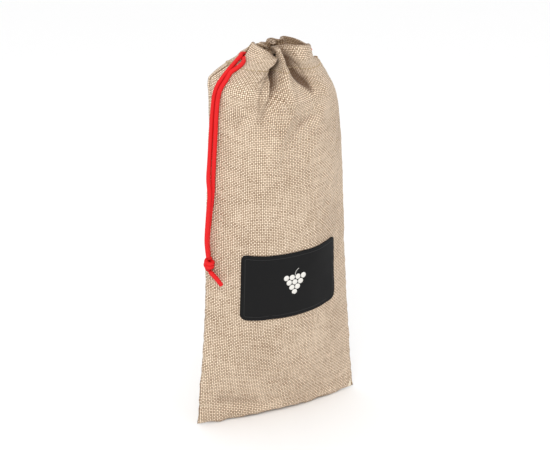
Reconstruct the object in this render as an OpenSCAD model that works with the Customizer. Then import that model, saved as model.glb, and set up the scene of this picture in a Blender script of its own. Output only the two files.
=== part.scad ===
// Drawstring gift bag for one wine bottle: a flat woven bag, drawn closed at the neck
// by two cords that run in the turned-in top hem. Millimetres, Z up, front towards -Y.
// The origin is in the middle of the bottom, on the surface that the bag stands on.

/* [Bag] */
// Width of the cloth bag laid flat, from seam to seam
flat_w = 150; // [130:1:190]
// Height of the cloth bag laid flat, from bottom seam to top edge
flat_h = 345; // [300:1:430]
// Thickness of the woven cloth
cloth_t = 1.2; // [0.8:0.1:1.8]
// Thickness of the lining
lining_t = 0.5; // [0.3:0.1:0.8]
// How far each bottom corner draws in from the flat width
corner_pull = 1; // [0:0.5:4]
// Width across the belly, a third of the way up
belly_w = 131; // [110:1:144]
// Width across the shoulders, just below the gathers
shoulder_w = 118; // [100:1:140]

/* [Gathered neck] */
// Width of the neck where the cords draw it in
neck_w = 62; // [50:1:84]
// Depth of the neck where the cords draw it in
neck_d = 46; // [38:1:60]
// Width of the ruffled top edge
ruffle_w = 62; // [54:1:90]
// Depth of the ruffled top edge
ruffle_d = 48; // [42:1:66]
// Distance of the cords below the top edge
channel_drop = 11; // [8:1:20]
// Height of the slope from the shoulders up to the cords
shoulder_rise = 16; // [12:1:28]
// How far each side slit runs down below the cords
slit_below = 8; // [6:1:12]
// Width of each side slit at the cords
slit_w = 12; // [8:1:16]
// Height that the floor, the belly and the gathers take from the flat height
height_loss = 23; // [15:1:40]

/* [Cords] */
// Diameter of each drawcord
cord_d = 3.5; // [2.5:0.1:4.5]
// Width of the overhand knot
knot_w = 9.2; // [7:0.1:12]
// Length of the overhand knot
knot_l = 12; // [9:0.5:16]

/* [Label] */
// Width of the label patch
label_w = 92; // [60:1:100]
// Height of the label patch
label_h = 58; // [36:1:80]
// Corner radius of the label patch
label_r = 5; // [2:0.5:9]
// Height of the middle of the label above the bottom
label_z = 125; // [90:1:160]
// Thickness of the label patch
label_t = 0.8; // [0.5:0.1:1.2]
// Distance of the printed border line from the label's edge
border_inset = 3; // [2:0.5:6]
// Width of the printed border line
border_w = 0.6; // [0.4:0.1:1.2]

/* [Hidden] */

jute_colour = [0.80, 0.71, 0.59];
hem_colour = [0.70, 0.60, 0.47];
lining_colour = [0.88, 0.82, 0.72];
cord_colour = [0.85, 0.08, 0.12];
label_colour = [0.12, 0.12, 0.12];
print_colour = [0.90, 0.89, 0.86];
thread_colour = [0.76, 0.66, 0.52];

// Gap between cloth layers that lie on each other, and between the two sides of a seam
layer_gap = 0.3;
// Distance of a panel's side edge from the middle plane of the bag
seam_gap = 0.6;
// Half of the thickness of a folded seam allowance
allowance_half = 0.5;
allowance_w = 7.5;
// Free space round a cord in its channel
channel_gap = 0.35;
// Gap between the panels and the casings, which slide over them
slide_gap = 0.3;

top_z = flat_h - height_loss;
channel_z = top_z - channel_drop;
shoulder_z = channel_z - shoulder_rise;
slit_z = channel_z - slit_below;
belly_z = shoulder_z * 0.44;
hem_depth = cloth_t + cord_d + 2 * channel_gap;

// Half of the bag's depth where its cloth, flat_w wide, spans the half width a
function full_depth(a) = a * sqrt(1.5 * max(0.012, flat_w / (2 * a) - 1));

base_half = flat_w / 2 - corner_pull;
width_rows = [[0, base_half], [belly_z, belly_w / 2], [shoulder_z - 12, shoulder_w / 2],
    [shoulder_z, shoulder_w / 2 - 1], [channel_z, neck_w / 2], [top_z, ruffle_w / 2]];
depth_rows = [[0, full_depth(base_half)], [belly_z, full_depth(belly_w / 2)],
    [shoulder_z - 12, full_depth(shoulder_w / 2)], [channel_z, neck_d / 2], [top_z, ruffle_d / 2]];

function ease(t) = t * t * (3 - 2 * t);
function row_at(z, rows, i = 0) = i >= len(rows) - 2 || z <= rows[i + 1][0] ? i : row_at(z, rows, i + 1);
function between(z, rows) =
    let (i = row_at(z, rows), low = rows[i], high = rows[i + 1])
    low[1] + (high[1] - low[1]) * ease(max(0, min(1, (z - low[0]) / (high[0] - low[0]))));
function steps(low, high, n) = [for (i = [0:n]) low + (high - low) * i / n];

// The bag's cross-section is two shallow bows that meet at the side seams. d is the depth
// below the outer face, and the bows draw in faster at the seams than in the middle.
seam_slope = 1.6;
function half_width(z, d) = between(z, width_rows) - seam_slope * d;
function half_depth(z, d) = between(z, depth_rows) - d;
function bow(x, z, d) = half_depth(z, d) * (1 - pow(x / half_width(z, d), 2));
function edge_x(z, d, gap) = half_width(z, d) * sqrt(1 - gap / half_depth(z, d));

function flatten(lists) = [for (l = lists) each l];
function norm_of(v) = v / norm(v);

// A closed solid through rings of points, with a flat cap at each end
module loft(rings) {
    n = len(rings[0]);
    last = (len(rings) - 1) * n;
    sides = [for (j = [0:len(rings) - 2], i = [0:n - 1])
        let (a = j * n + i, b = j * n + (i + 1) % n)
        each [[a, a + n, b + n], [a, b + n, b]]];
    caps = [[for (i = [0:n - 1]) i], [for (i = [n - 1:-1:0]) last + i]];
    polyhedron(points = flatten(rings), faces = concat(sides, caps), convexity = 6);
}

// A closed sheet between two grids of points with the same rows and columns
module sheet(outer, inner) {
    rows = len(outer);
    cols = len(outer[0]);
    back = rows * cols;
    function quad(a, b, c, d) = [[a, b, c], [a, c, d]];
    skins = [for (j = [0:rows - 2], i = [0:cols - 2])
        let (a = j * cols + i, b = a + cols)
        each concat(quad(a, b, b + 1, a + 1), quad(back + a, back + a + 1, back + b + 1, back + b))];
    ends = [for (i = [0:cols - 2])
        let (low = i, high = (rows - 1) * cols + i)
        each concat(quad(low, low + 1, back + low + 1, back + low),
            quad(high, back + high, back + high + 1, high + 1))];
    sides = [for (j = [0:rows - 2])
        let (left = j * cols, right = left + cols - 1)
        each concat(quad(left, back + left, back + left + cols, left + cols),
            quad(right, right + cols, back + right + cols, back + right))];
    polyhedron(points = concat(flatten(outer), flatten(inner)), faces = concat(skins, ends, sides),
        convexity = 6);
}

// One row of a sheet on the front bow at height z and depth d, reaching out to x = +-half
function bow_row(z, d, half, cols) = [for (u = steps(-1, 1, cols)) [u * half, -bow(u * half, z, d), z]];
// The same row where the side edge lies at the distance gap from the middle plane
function edge_row(z, d, gap, cols) = bow_row(z, d, edge_x(z, d, gap), cols);
// A row of the bag's floor at height z, between the bottom seam (s = 0) and the wall (s = 1)
function floor_row(z, d, s, cols) =
    [for (p = edge_row(0, d, seam_gap, cols)) [p[0], -seam_gap / 3 + s * (p[1] + seam_gap / 3), z]];

wall_heights = concat(steps(0, shoulder_z - 12, 9), steps(shoulder_z - 8, slit_z, 6));

// A wall with its half of the floor, between the depths d0 and d1
module front_wall(d0, d1, top, cols) {
    heights = [for (z = wall_heights) if (z > d1 + 1 && z < top - 1) z];
    function grid(d) = concat([for (s = [0, 0.5]) floor_row(d, d, s, cols)],
        [for (z = concat([d], heights, [top])) edge_row(z, d, seam_gap, cols)]);
    sheet(grid(d0), grid(d1));
}

module front_panel() {
    color(jute_colour) front_wall(0, cloth_t, slit_z, 20);
}
module back_panel() {
    color(jute_colour) mirror([0, 1, 0]) front_wall(0, cloth_t, slit_z, 20);
}

lining_d = cloth_t + layer_gap;
lining_top = slit_z - 2;
module front_lining() {
    color(lining_colour) front_wall(lining_d, lining_d + lining_t, lining_top, 14);
}
module back_lining() {
    color(lining_colour) mirror([0, 1, 0]) front_wall(lining_d, lining_d + lining_t, lining_top, 14);
}

// The seam allowance that stands inwards between the two panels, at the right side
module side_seam() {
    heights = concat([4], [for (z = wall_heights) if (z > 5 && z < slit_z - 4) z], [slit_z - 1]);
    loft([for (z = heights)
        let (out = half_width(z, 0) - 1)
        [[out, -allowance_half, z], [out, allowance_half, z],
            [out - allowance_w, allowance_half, z], [out - allowance_w, -allowance_half, z]]]);
}
module left_side_seam() {
    color(hem_colour) mirror([1, 0, 0]) side_seam();
}
module right_side_seam() {
    color(hem_colour) side_seam();
}

// The bottom seam allowance stands up inside, on the lining of the floor
bottom_seam_half = base_half - 13;
module bottom_seam() {
    low = lining_d + lining_t + layer_gap;
    color(hem_colour) translate([-bottom_seam_half, -allowance_half, low])
        cube([2 * bottom_seam_half, 2 * allowance_half, allowance_w]);
}

// The outer wall of the gathered top, which the front cord runs behind
casing_heights = concat([slit_z + slide_gap], steps(channel_z - 4, top_z, 5));
module casing_wall() {
    function grid(d) = [for (z = casing_heights) edge_row(z, d, slit_w / 2, 20)];
    sheet(grid(0), grid(cloth_t));
}
module front_casing() {
    color(jute_colour) casing_wall();
}
module back_casing() {
    color(jute_colour) mirror([0, 1, 0]) casing_wall();
}

// The top of the cloth is turned inwards: this is its inner wall, behind the cord
hem_gap = slit_w / 2;
module hem_wall() {
    function grid(d) = [for (z = casing_heights) edge_row(z, d, hem_gap, 16)];
    sheet(grid(hem_depth), grid(hem_depth + cloth_t));
}
module front_hem() {
    color(hem_colour) hem_wall();
}
module back_hem() {
    color(hem_colour) mirror([0, 1, 0]) hem_wall();
}

// The row of stitches that holds the turned-in hem, along the bottom of the casing
stitch_l = 3;
stitch_t = 0.5;
stitch_pitch = 4.6;
stitch_z = slit_z - 2.5;
module casing_stitching() {
    reach = floor((half_width(stitch_z, 0) - 6) / stitch_pitch);
    for (i = [-reach:reach]) {
        x = i * stitch_pitch;
        turn = atan2(bow(x + 1, stitch_z, 0) - bow(x - 1, stitch_z, 0), 2);
        lift = stitch_t + layer_gap + stitch_l * 0.4;
        translate([x, -bow(x, stitch_z, 0) - lift, stitch_z]) rotate([0, 0, -turn])
            cube([stitch_l, stitch_t, stitch_t], center = true);
    }
}
module front_casing_stitching() {
    color(thread_colour) casing_stitching();
}
module back_casing_stitching() {
    color(thread_colour) mirror([0, 1, 0]) casing_stitching();
}

// The dense stitches that stop the side slit from tearing, laid over the top of the side seam
tack = [4, slit_w / 2 - 1.5, 1.2];
module bar_tack() {
    translate([half_width(slit_z, 0) - tack[0] / 2 - 1, 0, slit_z + slide_gap + tack[2] / 2])
        cube(tack, center = true);
}
module left_bar_tack() {
    color(thread_colour) mirror([1, 0, 0]) bar_tack();
}
module right_bar_tack() {
    color(thread_colour) bar_tack();
}

// Half the width of the label at height z, drawn in by its rounded corners
function label_half(z) =
    let (into = max(0, abs(z - label_z) - (label_h / 2 - label_r)))
    label_w / 2 - label_r + sqrt(max(0, label_r * label_r - into * into));
label_heights = let (low = label_z - label_h / 2, high = label_z + label_h / 2, k = label_r)
    concat([low, low + 0.1 * k, low + 0.3 * k, low + 0.6 * k], steps(low + k, high - k, 4),
        [high - 0.6 * k, high - 0.3 * k, high - 0.1 * k, high]);
label_back = -0.2;
label_face = label_back - label_t;
module label_patch() {
    function grid(d) = [for (z = label_heights) bow_row(z, d, label_half(z), 18)];
    color(label_colour) sheet(grid(label_face), grid(label_back));
}

// The thin line printed round the label, as two long and two short strips
print_t = 0.15;
module label_border() {
    half = label_w / 2 - border_inset;
    rise = label_h / 2 - border_inset;
    function strip(x0, x1, z, n) = [for (x = steps(x0, x1, n)) [x, z]];
    function row(points, d) = [for (p = points) [p[0], -bow(p[0], p[1], d), p[1]]];
    module line(x0, x1, z0, z1, nx, nz) {
        function grid(d) = [for (z = steps(z0, z1, nz)) row(strip(x0, x1, z, nx), d)];
        sheet(grid(label_face - print_t - 0.05), grid(label_face - 0.05));
    }
    color(print_colour) {
        for (z = [label_z - rise, label_z + rise - border_w])
            line(-half, half, z, z + border_w, 18, 1);
        for (x = [-half, half - border_w])
            line(x, x + border_w, label_z - rise + border_w + 0.1, label_z + rise - border_w - 0.1, 1, 6);
    }
}

// A bunch of grapes: rows of round dots that get shorter downwards
grape_r = 2.4;
grape_rows = 4;
grape_pitch = 5.2;
module label_print() {
    color(print_colour) for (j = [0:grape_rows - 1], i = [0:grape_rows - 1 - j]) {
        x = (i - (grape_rows - 1 - j) / 2) * grape_pitch;
        z = label_z + 7 - j * grape_pitch * 0.866;
        turn = atan2(bow(x + 1, z, 0) - bow(x - 1, z, 0), 2);
        translate([x, -bow(x, z, label_face) - 0.1, z]) rotate([90, 0, -turn])
            cylinder(r = grape_r, h = print_t, $fn = 24);
    }
}

// A round tube along points, with its rings square to the route. Routes never run along Y.
module tube(route, r, sides = 8) {
    last = len(route) - 1;
    loft([for (k = [0:last])
        let (t = norm_of(route[min(last, k + 1)] - route[max(0, k - 1)]),
            across = norm_of(cross(t, [0, 1, 0.02])), up = cross(t, across))
        [for (i = [0:sides - 1]) let (a = 360 * (i + 0.5) / sides)
            route[k] + r * (cos(a) * across - sin(a) * up)]]);
}
// Points on a smooth curve through a route's points
function curve(p, n) = [for (k = [0:len(p) - 2], i = [0:n - 1])
    let (t = i / n, a = p[max(0, k - 1)], b = p[k], c = p[k + 1], d = p[min(len(p) - 1, k + 2)])
    0.5 * (2 * b + (c - a) * t + (2 * a - 5 * b + 4 * c - d) * t * t + (3 * b - a - 3 * c + d) * t * t * t)];
function through(p, n) = concat(curve(p, n), [p[len(p) - 1]]);

// The stretch of each cord inside the front channel: one cord lies above the other
cord_r = cord_d / 2;
cord_layer = cloth_t + channel_gap + cord_r;
cord_pair = cord_d + 0.2;
module channel_run(z) {
    half = edge_x(z, cord_layer, slit_w / 2 + cord_r) - 0.5;
    tube([for (u = steps(-1, 1, 16)) [u * half, -bow(u * half, z, cord_layer), z]], cord_r);
}
module left_cord_front_run() {
    color(cord_colour) channel_run(channel_z + cord_pair / 2);
}
module left_cord_back_run() {
    color(cord_colour) mirror([0, 1, 0]) channel_run(channel_z + cord_pair / 2);
}
module right_cord_front_run() {
    color(cord_colour) channel_run(channel_z - cord_pair / 2);
}
module right_cord_back_run() {
    color(cord_colour) mirror([0, 1, 0]) channel_run(channel_z - cord_pair / 2);
}

// Free cords: from the side slit over the shoulder and down to the knot
left_front_route = [[-24, -3.2, 310.5], [-29.8, -4, 310.5], [-33, -9.5, 309.6],
    [-37, -12.9, 308], [-41.5, -13.3, 305.7], [-46, -13, 303], [-51, -15, 298.2],
    [-55, -14.5, 292.5], [-56.5, -12, 285], [-57.5, -10, 270], [-58, -8.8, 255],
    [-59.5, -8, 231], [-60.2, -7.4, 218], [-61, -7.4, 205], [-63, -6, 187], [-65.3, -6, 169],
    [-65.4, -6, 160], [-65.1, -6.2, 154]];
left_back_route = [[-24, 3.2, 312], [-29.5, 0.6, 313], [-33, -3.5, 312], [-37, -5.6, 310],
    [-41, -7.8, 307.8], [-45.5, -9.6, 305], [-51.5, -11.2, 300], [-56.5, -11.1, 293.5],
    [-58.3, -8.4, 285], [-59.6, -6.8, 270], [-60.4, -5.7, 255], [-62.2, -5.2, 231],
    [-64.1, -6.8, 218], [-64.6, -9.2, 205], [-66, -8.4, 187], [-67.9, -9, 169],
    [-67.7, -9.3, 160], [-67.2, -9.6, 154]];
left_knot_at = [-65.8, -8.2, 147];
left_tail_routes = [[[-65.8, -10.6, 140.3], [-64, -12.8, 137.8], [-62, -14.4, 135], [-59.4, -16.7, 130.5]],
    [[-64.8, -6.6, 140.3], [-62.8, -9, 137.3], [-60.8, -11, 134.5], [-58.5, -13.2, 130.3]]];

right_front_route = [[24, -3.2, 309], [29.5, -2, 309.5], [32.8, 3, 309.2], [34.8, 8.5, 307.5],
    [37.5, 14, 304], [41.5, 18, 299], [45, 18.8, 292], [47.3, 17.6, 284], [50.5, 16, 270],
    [52.8, 14.8, 255], [55.2, 14, 235], [57, 13.5, 210], [57.8, 13.4, 185], [58.2, 13.8, 170],
    [58.4, 14.2, 154]];
right_back_route = [[24, 3.2, 310], [28.3, 3.6, 310.6], [30.4, 8, 309.2], [31.3, 13.5, 306.3],
    [35, 19.5, 301.8], [39, 22.5, 297], [41.5, 22.5, 291], [43.5, 20.8, 283], [47, 18.8, 269],
    [49.5, 17.2, 254], [52, 16.4, 234], [54, 15.9, 209], [55, 16, 185], [55.4, 16.4, 170],
    [55.7, 16.8, 154]];
right_knot_at = [57, 15.5, 147];
right_tail_routes = [[[58.3, 13.7, 140.3], [58.8, 14, 136], [59.5, 15, 130], [60, 16.5, 123]],
    [[55.8, 17.3, 140.3], [56.2, 18.5, 136], [57.5, 20, 130], [58.5, 21, 124]]];

module left_front_strand() {
    color(cord_colour) tube(through(left_front_route, 2), cord_r);
}
module left_back_strand() {
    color(cord_colour) tube(through(left_back_route, 2), cord_r);
}
module right_front_strand() {
    color(cord_colour) tube(through(right_front_route, 2), cord_r);
}
module right_back_strand() {
    color(cord_colour) tube(through(right_back_route, 2), cord_r);
}

// An overhand knot as the barrel shape that it fills
module knot(at) {
    outline = [for (a = steps(-90, 90, 10)) [knot_w / 2 * cos(a), knot_l / 2 * sin(a)]];
    translate(at) rotate_extrude($fn = 32)
        polygon(concat([[0, -knot_l / 2]], [for (i = [1:9]) outline[i]], [[0, knot_l / 2]]));
}
module left_knot() {
    color(cord_colour) knot(left_knot_at);
}
module right_knot() {
    color(cord_colour) knot(right_knot_at);
}
module left_tails() {
    color(cord_colour) for (route = left_tail_routes) tube(through(route, 2), cord_r);
}
module right_tails() {
    color(cord_colour) for (route = right_tail_routes) tube(through(route, 2), cord_r);
}

front_panel();
back_panel();
front_lining();
back_lining();
left_side_seam();
right_side_seam();
bottom_seam();
front_casing();
back_casing();
front_hem();
back_hem();
front_casing_stitching();
back_casing_stitching();
left_bar_tack();
right_bar_tack();
label_patch();
label_border();
label_print();
left_cord_front_run();
left_cord_back_run();
right_cord_front_run();
right_cord_back_run();
left_front_strand();
left_back_strand();
left_knot();
left_tails();
right_front_strand();
right_back_strand();
right_knot();
right_tails();
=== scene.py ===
import math
import bmesh
import bpy
import numpy as np
from mathutils import Matrix, Vector


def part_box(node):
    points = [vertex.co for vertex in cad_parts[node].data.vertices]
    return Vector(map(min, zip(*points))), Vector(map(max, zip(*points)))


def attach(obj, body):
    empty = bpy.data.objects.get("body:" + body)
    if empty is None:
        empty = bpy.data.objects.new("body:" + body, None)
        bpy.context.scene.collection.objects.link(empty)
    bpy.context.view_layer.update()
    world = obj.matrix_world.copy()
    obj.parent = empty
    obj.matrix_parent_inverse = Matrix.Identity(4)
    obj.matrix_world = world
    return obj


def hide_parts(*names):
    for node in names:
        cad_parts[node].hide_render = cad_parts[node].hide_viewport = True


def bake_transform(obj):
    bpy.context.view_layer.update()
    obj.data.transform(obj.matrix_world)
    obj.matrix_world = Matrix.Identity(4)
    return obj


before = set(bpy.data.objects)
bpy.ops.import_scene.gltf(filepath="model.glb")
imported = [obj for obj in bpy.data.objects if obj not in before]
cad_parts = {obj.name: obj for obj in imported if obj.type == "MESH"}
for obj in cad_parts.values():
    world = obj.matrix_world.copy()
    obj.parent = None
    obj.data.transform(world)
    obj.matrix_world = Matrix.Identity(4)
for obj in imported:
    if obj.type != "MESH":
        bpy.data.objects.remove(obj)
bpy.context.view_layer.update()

MM = 0.001

# ---------------------------------------------------------------- sizes, worked out from the frame
LABEL_LOW, LABEL_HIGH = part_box("label_patch")
FLAT_W = 150 * MM            # cloth laid flat, seam to seam
FLAT_H = 345 * MM            # cloth laid flat, bottom seam to top edge
CLOTH = 1.2 * MM
CORD_D = 3.5 * MM


# ---------------------------------------------------------------- camera, lights and floor
def make_camera():
    azimuth, elevation = math.radians(28.0), math.radians(20.0)
    distance = 1.15
    aim = Vector((0, 0, 0.165))
    back = Vector((-math.sin(azimuth) * math.cos(elevation),
                   -math.cos(azimuth) * math.cos(elevation), math.sin(elevation)))
    data = bpy.data.cameras.new("camera")
    data.lens = 91.26
    data.sensor_width = 36
    data.shift_x = -0.0026
    data.shift_y = 0.0024
    camera = bpy.data.objects.new("camera", data)
    camera.location = aim + back * distance
    camera.rotation_euler = (-back).to_track_quat("-Z", "Y").to_euler()
    camera.rotation_euler.rotate_axis("Z", math.radians(-0.32))
    bpy.context.collection.objects.link(camera)
    bpy.context.scene.camera = camera


make_camera()


def area_light(name, place, aim, size, power):
    data = bpy.data.lights.new(name, "AREA")
    data.shape = "RECTANGLE"
    data.size, data.size_y = size
    data.energy = power
    light = bpy.data.objects.new(name, data)
    light.location = place
    light.rotation_euler = (Vector(aim) - Vector(place)).to_track_quat("-Z", "Y").to_euler()
    bpy.context.collection.objects.link(light)


def make_studio():
    world = bpy.data.worlds.new("studio")
    world.use_nodes = True
    background = world.node_tree.nodes["Background"]
    background.inputs["Color"].default_value = (1, 1, 1, 1)
    background.inputs["Strength"].default_value = 1.02
    bpy.context.scene.world = world
    area_light("key", (-0.9, -1.3, 1.5), (0, 0, 0.15), (1.0, 1.0), 14)
    area_light("fill", (1.4, -0.9, 0.7), (0, 0, 0.15), (1.0, 1.0), 0.5)
    bm = bmesh.new()
    bmesh.ops.create_grid(bm, x_segments=8, y_segments=8, size=3.0)
    mesh = bpy.data.meshes.new("floor")
    bm.to_mesh(mesh)
    bm.free()
    floor = bpy.data.objects.new("floor", mesh)
    bpy.context.collection.objects.link(floor)
    return floor


floor = make_studio()
bpy.context.scene.view_settings.view_transform = "Standard"


# ---------------------------------------------------------------- shader maths
class Wire:
    """A shader socket that the usual operators work on, each adding its Math node."""

    def __init__(self, kit, socket):
        self.kit, self.socket = kit, socket

    def _math(self, operation, *values):
        return self.kit.node("ShaderNodeMath", {"operation": operation}, *values)

    def __add__(self, other): return self._math("ADD", self, other)
    def __radd__(self, other): return self._math("ADD", other, self)
    def __sub__(self, other): return self._math("SUBTRACT", self, other)
    def __rsub__(self, other): return self._math("SUBTRACT", other, self)
    def __mul__(self, other): return self._math("MULTIPLY", self, other)
    def __rmul__(self, other): return self._math("MULTIPLY", other, self)
    def __truediv__(self, other): return self._math("DIVIDE", self, other)
    def __gt__(self, other): return self._math("GREATER_THAN", self, other)
    def __pow__(self, other): return self._math("POWER", self, other)
    def sin(self): return self._math("SINE", self)
    def abs(self): return self._math("ABSOLUTE", self)
    def floor(self): return self._math("FLOOR", self)
    def clamp(self): return self.kit.node("ShaderNodeClamp", {}, self)


class Kit:
    """The nodes of one material, with a Principled shader at the end."""

    def __init__(self, name):
        self.material = bpy.data.materials.new(name)
        self.material.use_nodes = True
        self.tree = self.material.node_tree
        self.shader = self.tree.nodes["Principled BSDF"]

    def node(self, kind, settings, *values, out=0, **named):
        made = self.tree.nodes.new(kind)
        for key, value in settings.items():
            if key == "stops":
                while len(made.color_ramp.elements) < len(value):
                    made.color_ramp.elements.new(0.5)
                for element, (at, colour) in zip(made.color_ramp.elements, value):
                    element.position, element.color = at, colour
            else:
                setattr(made, key, value)
        targets = list(zip(range(len(values)), values)) + list(named.items())
        for key, value in targets:
            if isinstance(key, str):
                key = key.replace("_", " ")
            self.feed(made.inputs[key], value)
        return Wire(self, made.outputs[out])

    def feed(self, socket, value):
        if isinstance(value, Wire):
            self.tree.links.new(value.socket, socket)
        elif value is not None:
            socket.default_value = value

    def mix(self, factor, a, b):
        made = self.tree.nodes.new("ShaderNodeMix")
        made.data_type = "RGBA"
        for index, value in ((0, factor), (6, a), (7, b)):
            self.feed(made.inputs[index], value)
        return Wire(self, made.outputs[2])

    def uv(self):
        place = self.node("ShaderNodeUVMap", {"uv_map": "cloth"})
        parts = self.tree.nodes.new("ShaderNodeSeparateXYZ")
        self.feed(parts.inputs[0], place)
        return place, Wire(self, parts.outputs[0]), Wire(self, parts.outputs[1])

    def point(self, x, y, z=0.0):
        return self.node("ShaderNodeCombineXYZ", {}, x, y, z)

    def noise(self, where, scale, detail=2.0, roughness=0.5):
        return self.node("ShaderNodeTexNoise", {}, Vector=where, Scale=scale, Detail=detail,
                         Roughness=roughness)

    def finish(self, **sockets):
        for name, value in sockets.items():
            self.feed(self.shader.inputs[name.replace("_", " ")], value)
        return self.material

    def bump(self, height, distance, strength=1.0):
        return self.node("ShaderNodeBump", {}, Height=height, Distance=distance, Strength=strength)


def rgb(r, g, b):
    """An sRGB colour of 0-255 parts, made linear."""
    def line(c):
        c = c / 255
        return c / 12.92 if c <= 0.04045 else ((c + 0.055) / 1.055) ** 2.4
    return (line(r), line(g), line(b), 1.0)


def woven_jute(name, light, mid, dark, pitch=1.45 * MM):
    """Coarse plain weave that follows the cloth: yarns in both directions, with slubs and dark gaps, and
    painted shade that darkens its creases, its dips and the inside of the mouth.
    """
    kit = Kit(name)
    place, across, along = kit.uv()
    wander = kit.noise(place, 60, 2) - 0.5
    s = across / pitch + wander * 0.7
    t = along / pitch + wander * 0.7
    warp = (s * math.pi).sin()
    weft = (t * math.pi).sin()
    over = (warp * weft * 3.0 + 0.5).clamp()
    warp_round, weft_round = warp.abs(), weft.abs()
    height = over * warp_round + (1 - over) * weft_round
    warp_slub = kit.noise(kit.point(s.floor() * 7.3, along * 60), 1.0, 3, 0.7)
    weft_slub = kit.noise(kit.point(across * 60, t.floor() * 7.3 + 31.7), 1.0, 3, 0.7)
    slub = over * warp_slub + (1 - over) * weft_slub
    gap = (1 - warp_round) * (1 - weft_round)
    patch = kit.noise(place, 22, 3)
    fibre = kit.noise(kit.point(s * 3.1, t * 3.1), 1.0, 2)
    crown = warp_round * weft_round
    tone = (0.5 + (crown - 0.4) * 1.05 + (over - 0.5) * 0.4 + (slub - 0.5) * 1.3 + (patch - 0.5) * 0.4
            + (fibre - 0.5) * 0.5).clamp()
    colour = kit.node("ShaderNodeValToRGB", {"stops": [(0.0, dark), (0.5, mid), (1.0, light)]}, tone)
    colour = kit.mix((gap * 1.8 - 0.2).clamp() * 0.85, colour, rgb(96, 72, 50))
    # painted shade: the jute's colour is darkened towards dark brown by the per-point shade attribute, deepest
    # in creases and dips
    hollow = kit.node("ShaderNodeAttribute", {"attribute_name": "hollow"}, out=2)
    colour = kit.mix((hollow * 1.6).clamp() * 0.8, colour, rgb(88, 55, 30))
    bump = kit.bump(height + fibre * 0.35 + slub * 0.5, 0.4 * MM, 1.0)
    kit.shader.inputs["Sheen Weight"].default_value = 0.1
    kit.shader.inputs["Sheen Roughness"].default_value = 0.5
    kit.shader.inputs["Specular IOR Level"].default_value = 0.2
    return kit.finish(Base_Color=colour, Roughness=0.82 + fibre * 0.15, Normal=bump)


JUTE = woven_jute("jute", rgb(255, 236, 213), rgb(203, 177, 148), rgb(116, 88, 65))
# the same jute in darker colours for the bag's inner faces, the turned-in hem and the seam allowances: painted
# shade inside the bag
JUTE_SHADED_INSIDE = woven_jute("jute inner side in painted shade", rgb(220, 196, 164), rgb(172, 146, 116), rgb(110, 84, 60))


def satin_cord(name):
    kit = Kit(name)
    place, across, along = kit.uv()
    strand = ((across * 12 + along * 900) * math.pi).sin().abs()
    fibre = kit.noise(kit.point(across * 40, along * 60), 1.0, 2)
    colour = kit.mix(strand * 0.5 + fibre * 0.4, rgb(186, 14, 18), rgb(240, 30, 32))
    kit.shader.inputs["Specular IOR Level"].default_value = 0.25
    return kit.finish(Base_Color=colour, Roughness=0.5 + fibre * 0.2, Normal=kit.bump(strand, 0.12 * MM, 0.5))


CORD_RED = satin_cord("red satin cord")


def plain_cloth(name, light, dark, scale=1500):
    kit = Kit(name)
    place = kit.node("ShaderNodeTexCoord", {}, out=3)
    grain = kit.noise(place, scale, 2)
    kit.shader.inputs["Specular IOR Level"].default_value = 0.25
    return kit.finish(Base_Color=kit.mix(grain, dark, light), Roughness=0.7 + grain * 0.2,
                      Normal=kit.bump(grain, 0.1 * MM, 0.4))


LABEL_BLACK = plain_cloth("black label", rgb(15, 15, 16), rgb(9, 9, 10))
PRINT_WHITE = plain_cloth("white print", rgb(235, 233, 228), rgb(215, 212, 205))
LINING = plain_cloth("lining", rgb(232, 220, 200), rgb(214, 200, 176))
PRINT_GREY = plain_cloth("grey print", rgb(44, 44, 44), rgb(36, 36, 36))
THREAD = plain_cloth("sewing thread", rgb(206, 184, 150), rgb(170, 146, 112))


def paint_floor():
    kit = Kit("pale floor")
    floor.data.materials.append(kit.finish(Base_Color=(0.93, 0.93, 0.93, 1), Roughness=0.8))


paint_floor()


# ---------------------------------------------------------------- cords
def through(points, n=6):
    """Points on a smooth curve through a route, in metres."""
    p = [Vector(q) * MM for q in points]
    out = []
    for k in range(len(p) - 1):
        a, b, c, d = p[max(0, k - 1)], p[k], p[k + 1], p[min(len(p) - 1, k + 2)]
        for i in range(n):
            t = i / n
            out.append(0.5 * (2 * b + (c - a) * t + (2 * a - 5 * b + 4 * c - d) * t * t
                              + (3 * b - a - 3 * c + d) * t ** 3))
    return out + [p[-1]]


def length_of(path):
    return sum((b - a).length for a, b in zip(path, path[1:]))


def add_piece(name, bm, material, smooth=True):
    mesh = bpy.data.meshes.new(name)
    bm.to_mesh(mesh)
    bm.free()
    mesh.materials.append(material)
    for face in mesh.polygons:
        face.use_smooth = smooth
    piece = bpy.data.objects.new(name, mesh)
    bpy.context.collection.objects.link(piece)
    return piece


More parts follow.
